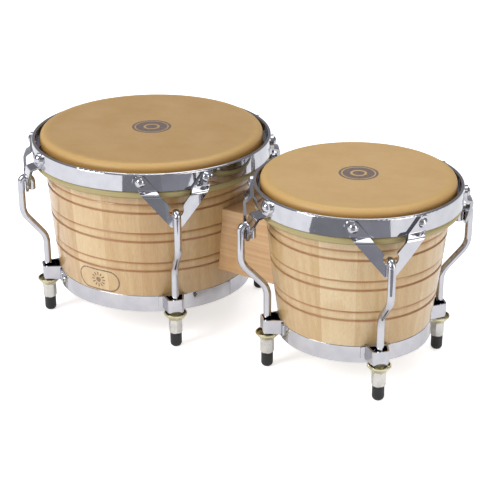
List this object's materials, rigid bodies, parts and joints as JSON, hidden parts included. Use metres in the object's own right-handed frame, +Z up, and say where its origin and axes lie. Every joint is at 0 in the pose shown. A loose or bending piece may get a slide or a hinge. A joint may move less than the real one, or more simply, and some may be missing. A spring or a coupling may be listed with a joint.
{
  "type": "bongo drums",
  "caption": "Pair of stave-shell bongo drums, one larger than the other, joined by a wooden centre block; hooked rods and nuts with rubber tips tension the skins.",
  "frame": {"origin": "on the surface the rubber tips stand on, under the middle of the pair's bounding box", "axes": "+X from the large drum to the small drum, +Y away from the side the badge is on, +Z up"},
  "size_m": [0.445, 0.2344, 0.1859],
  "materials": {
    "shell_wood": "clear satin lacquer over pale staves",
    "block_wood": "clear satin lacquer",
    "skin": "natural rawhide, slightly shiny",
    "chrome": "polished chrome plate",
    "zinc": "yellow-tinted zinc plate",
    "nut_steel": "bright zinc plate",
    "plain_steel": "plain zinc plate",
    "rubber": "matt moulded rubber"
  },
  "bodies": {
    "stand": {"large_shell": "shell_wood", "large_head": "skin", "large_flesh_ring": "plain_steel", "large_bottom_band": "chrome", "large_band_rivets": "chrome", "large_cup_washers": "zinc", "large_lug_bracket_1": "chrome", "large_lug_bracket_2": "chrome", "large_lug_bracket_3": "chrome", "large_lug_bracket_4": "chrome", "small_shell": "shell_wood", "small_head": "skin", "small_flesh_ring": "plain_steel", "small_bottom_band": "chrome", "small_band_rivets": "chrome", "small_cup_washers": "zinc", "small_lug_bracket_1": "chrome", "small_lug_bracket_2": "chrome", "small_lug_bracket_3": "chrome", "small_lug_bracket_4": "chrome", "center_block": "block_wood", "block_bolts": "plain_steel", "block_washers": "plain_steel", "block_nuts": "plain_steel"},
    "large_hoop": {"large_rim": "chrome", "large_claw_rivets": "chrome", "large_claw_1": "chrome", "large_hook_rod_1": "chrome", "large_claw_2": "chrome", "large_hook_rod_2": "chrome", "large_claw_3": "chrome", "large_hook_rod_3": "chrome", "large_claw_4": "chrome", "large_hook_rod_4": "chrome"},
    "large_nut_1": {"large_lug_nut_1": "nut_steel", "large_rubber_tip_1": "rubber"},
    "large_nut_2": {"large_lug_nut_2": "nut_steel", "large_rubber_tip_2": "rubber"},
    "large_nut_3": {"large_lug_nut_3": "nut_steel", "large_rubber_tip_3": "rubber"},
    "large_nut_4": {"large_lug_nut_4": "nut_steel", "large_rubber_tip_4": "rubber"},
    "small_hoop": {"small_rim": "chrome", "small_claw_rivets": "chrome", "small_claw_1": "chrome", "small_hook_rod_1": "chrome", "small_claw_2": "chrome", "small_hook_rod_2": "chrome", "small_claw_3": "chrome", "small_hook_rod_3": "chrome", "small_claw_4": "chrome", "small_hook_rod_4": "chrome"},
    "small_nut_1": {"small_lug_nut_1": "nut_steel", "small_rubber_tip_1": "rubber"},
    "small_nut_2": {"small_lug_nut_2": "nut_steel", "small_rubber_tip_2": "rubber"},
    "small_nut_3": {"small_lug_nut_3": "nut_steel", "small_rubber_tip_3": "rubber"},
    "small_nut_4": {"small_lug_nut_4": "nut_steel", "small_rubber_tip_4": "rubber"}
  },
  "joints": [
    {"name": "large_hoop_lift", "type": "slide", "parent": "stand", "child": "large_hoop", "axis": [0, 0, 1], "range_m": [0, 0.005]},
    {"name": "large_nut_1_turn", "type": "hinge", "parent": "stand", "child": "large_nut_1", "pos_m": [-0.02573, -0.0742, 0.03], "axis": [0, 0, -1], "range_deg": [0, 1440.1]},
    {"name": "large_nut_2_turn", "type": "hinge", "parent": "stand", "child": "large_nut_2", "pos_m": [-0.0311, 0.07957, 0.03], "axis": [0, 0, -1], "range_deg": [0, 1440.1]},
    {"name": "large_nut_3_turn", "type": "hinge", "parent": "stand", "child": "large_nut_3", "pos_m": [-0.18487, 0.0742, 0.03], "axis": [0, 0, -1], "range_deg": [0, 1440.1]},
    {"name": "large_nut_4_turn", "type": "hinge", "parent": "stand", "child": "large_nut_4", "pos_m": [-0.1795, -0.07957, 0.03], "axis": [0, 0, -1], "range_deg": [0, 1440.1]},
    {"name": "small_hoop_lift", "type": "slide", "parent": "stand", "child": "small_hoop", "axis": [0, 0, 1], "range_m": [0, 0.005]},
    {"name": "small_nut_1_turn", "type": "hinge", "parent": "stand", "child": "small_nut_1", "pos_m": [0.18681, -0.05839, 0.03], "axis": [0, 0, -1], "range_deg": [0, 1440.1]},
    {"name": "small_nut_2_turn", "type": "hinge", "parent": "stand", "child": "small_nut_2", "pos_m": [0.18579, 0.05941, 0.03], "axis": [0, 0, -1], "range_deg": [0, 1440.1]},
    {"name": "small_nut_3_turn", "type": "hinge", "parent": "stand", "child": "small_nut_3", "pos_m": [0.06799, 0.05839, 0.03], "axis": [0, 0, -1], "range_deg": [0, 1440.1]},
    {"name": "small_nut_4_turn", "type": "hinge", "parent": "stand", "child": "small_nut_4", "pos_m": [0.06901, -0.05941, 0.03], "axis": [0, 0, -1], "range_deg": [0, 1440.1]}
  ],
  "couplings": [
    {"joint": "large_nut_1_turn", "follows": "large_hoop_lift", "rad_per_m": 5026.5},
    {"joint": "large_nut_2_turn", "follows": "large_hoop_lift", "rad_per_m": 5026.5},
    {"joint": "large_nut_3_turn", "follows": "large_hoop_lift", "rad_per_m": 5026.5},
    {"joint": "large_nut_4_turn", "follows": "large_hoop_lift", "rad_per_m": 5026.5},
    {"joint": "small_nut_1_turn", "follows": "small_hoop_lift", "rad_per_m": 5026.5},
    {"joint": "small_nut_2_turn", "follows": "small_hoop_lift", "rad_per_m": 5026.5},
    {"joint": "small_nut_3_turn", "follows": "small_hoop_lift", "rad_per_m": 5026.5},
    {"joint": "small_nut_4_turn", "follows": "small_hoop_lift", "rad_per_m": 5026.5}
  ]
}
